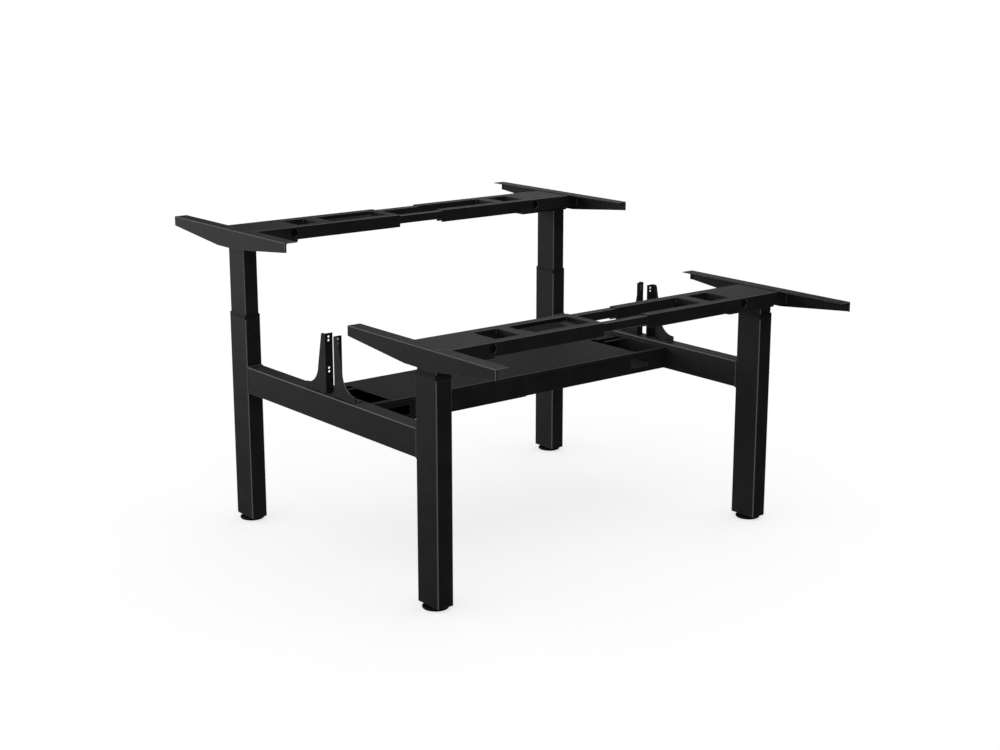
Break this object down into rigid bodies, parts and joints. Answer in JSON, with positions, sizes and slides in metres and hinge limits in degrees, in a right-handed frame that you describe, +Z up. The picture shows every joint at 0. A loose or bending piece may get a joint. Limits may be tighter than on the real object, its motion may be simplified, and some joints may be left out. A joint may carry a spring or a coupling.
{
  "type": "electric sit-stand desk frame",
  "caption": "Back-to-back electric sit-stand desk frame with lifting columns, telescoping width, cable trough and screen brackets.",
  "frame": {"origin": "on the floor at the middle of the base, under the cable trough", "axes": "+X along the desks' width to the right, +Y from the front desk to the back desk, +Z up"},
  "size_m": [1.256, 1.533, 0.87],
  "materials": {
    "black_steel": "matte black powder coat",
    "black_plastic": "fine textured black plastic",
    "foot_plastic": "matte black plastic",
    "nut_plastic": "natural acetal",
    "bare_steel": "bright steel",
    "motor_metal": "satin dark grey",
    "black_bolts": "black oxide"
  },
  "bodies": {
    "left_base": {"guide_collars_left": "black_plastic", "foot_plates_left": "black_steel", "push_tubes_left": "bare_steel", "spindle_nuts_left": "nut_plastic", "cross_beam_left": "black_steel", "tray_trough_left": "black_steel", "base_bolts_left": "black_bolts", "outer_tube_front_left": "black_steel", "screen_bracket_front_left": "black_steel", "outer_tube_back_left": "black_steel", "screen_bracket_back_left": "black_steel", "tray_cover": "black_steel"},
    "foot_front_left": {"levelling_foot_front_left": "foot_plastic"},
    "spindle_front_left": {"spindle_front_left": "bare_steel"},
    "top_front_left": {"inner_tube_front_left": "black_steel", "gear_motor_front_left": "motor_metal", "motor_housing_front_left": "black_steel", "side_arm_front_left": "black_steel", "rail_frame_front_left": "black_steel", "frame_screws_front_left": "black_bolts", "control_box_front": "black_plastic"},
    "foot_back_left": {"levelling_foot_back_left": "foot_plastic"},
    "spindle_back_left": {"spindle_back_left": "bare_steel"},
    "top_back_left": {"inner_tube_back_left": "black_steel", "gear_motor_back_left": "motor_metal", "motor_housing_back_left": "black_steel", "side_arm_back_left": "black_steel", "rail_frame_back_left": "black_steel", "frame_screws_back_left": "black_bolts", "control_box_back": "black_plastic"},
    "right_base": {"guide_collars_right": "black_plastic", "foot_plates_right": "black_steel", "push_tubes_right": "bare_steel", "spindle_nuts_right": "nut_plastic", "cross_beam_right": "black_steel", "tray_trough_right": "black_steel", "base_bolts_right": "black_bolts", "outer_tube_front_right": "black_steel", "screen_bracket_front_right": "black_steel", "outer_tube_back_right": "black_steel", "screen_bracket_back_right": "black_steel"},
    "foot_front_right": {"levelling_foot_front_right": "foot_plastic"},
    "spindle_front_right": {"spindle_front_right": "bare_steel"},
    "top_front_right": {"inner_tube_front_right": "black_steel", "gear_motor_front_right": "motor_metal", "motor_housing_front_right": "black_steel", "side_arm_front_right": "black_steel", "rail_frame_front_right": "black_steel", "frame_screws_front_right": "black_bolts"},
    "foot_back_right": {"levelling_foot_back_right": "foot_plastic"},
    "spindle_back_right": {"spindle_back_right": "bare_steel"},
    "top_back_right": {"inner_tube_back_right": "black_steel", "gear_motor_back_right": "motor_metal", "motor_housing_back_right": "black_steel", "side_arm_back_right": "black_steel", "rail_frame_back_right": "black_steel", "frame_screws_back_right": "black_bolts"},
    "inner_rails_front": {"inner_rails_front": "black_steel"},
    "inner_rails_back": {"inner_rails_back": "black_steel"}
  },
  "joints": [
    {"name": "width_adjust", "type": "slide", "parent": "left_base", "child": "right_base", "axis": [1, 0, 0], "range_m": [-0.08, 0.3]},
    {"name": "front_lift", "type": "slide", "parent": "left_base", "child": "top_front_left", "axis": [0, 0, 1], "range_m": [0, 0.47]},
    {"name": "front_spindle_left", "type": "hinge", "parent": "top_front_left", "child": "spindle_front_left", "pos_m": [-0.5785, -0.4575, 0.642], "axis": [0, 0, 1], "range_deg": [0, 16921]},
    {"name": "foot_front_left", "type": "slide", "parent": "left_base", "child": "foot_front_left", "axis": [0, 0, -1], "range_m": [0, 0.01]},
    {"name": "front_lift_right", "type": "slide", "parent": "right_base", "child": "top_front_right", "axis": [0, 0, 1], "range_m": [0, 0.47]},
    {"name": "front_spindle_right", "type": "hinge", "parent": "top_front_right", "child": "spindle_front_right", "pos_m": [0.5785, -0.4575, 0.642], "axis": [0, 0, 1], "range_deg": [0, 16921]},
    {"name": "foot_front_right", "type": "slide", "parent": "right_base", "child": "foot_front_right", "axis": [0, 0, -1], "range_m": [0, 0.01]},
    {"name": "front_inner_rails", "type": "slide", "parent": "top_front_left", "child": "inner_rails_front", "axis": [1, 0, 0], "range_m": [-0.04, 0.15]},
    {"name": "back_lift", "type": "slide", "parent": "left_base", "child": "top_back_left", "axis": [0, 0, 1], "range_m": [-0.176, 0.294]},
    {"name": "back_spindle_left", "type": "hinge", "parent": "top_back_left", "child": "spindle_back_left", "pos_m": [-0.5785, 0.4575, 0.818], "axis": [0, 0, 1], "range_deg": [-6337, 10585]},
    {"name": "foot_back_left", "type": "slide", "parent": "left_base", "child": "foot_back_left", "axis": [0, 0, -1], "range_m": [0, 0.01]},
    {"name": "back_lift_right", "type": "slide", "parent": "right_base", "child": "top_back_right", "axis": [0, 0, 1], "range_m": [-0.176, 0.294]},
    {"name": "back_spindle_right", "type": "hinge", "parent": "top_back_right", "child": "spindle_back_right", "pos_m": [0.5785, 0.4575, 0.818], "axis": [0, 0, 1], "range_deg": [-6337, 10585]},
    {"name": "foot_back_right", "type": "slide", "parent": "right_base", "child": "foot_back_right", "axis": [0, 0, -1], "range_m": [0, 0.01]},
    {"name": "back_inner_rails", "type": "slide", "parent": "top_back_left", "child": "inner_rails_back", "axis": [1, 0, 0], "range_m": [-0.04, 0.15]}
  ],
  "couplings": [
    {"joint": "front_lift_right", "follows": "front_lift", "ratio": 1},
    {"joint": "front_spindle_left", "follows": "front_lift", "rad_per_m": 628.32},
    {"joint": "front_spindle_right", "follows": "front_lift", "rad_per_m": 628.32},
    {"joint": "front_inner_rails", "follows": "width_adjust", "ratio": 0.5},
    {"joint": "back_lift_right", "follows": "back_lift", "ratio": 1},
    {"joint": "back_spindle_left", "follows": "back_lift", "rad_per_m": 628.32},
    {"joint": "back_spindle_right", "follows": "back_lift", "rad_per_m": 628.32},
    {"joint": "back_inner_rails", "follows": "width_adjust", "ratio": 0.5}
  ]
}
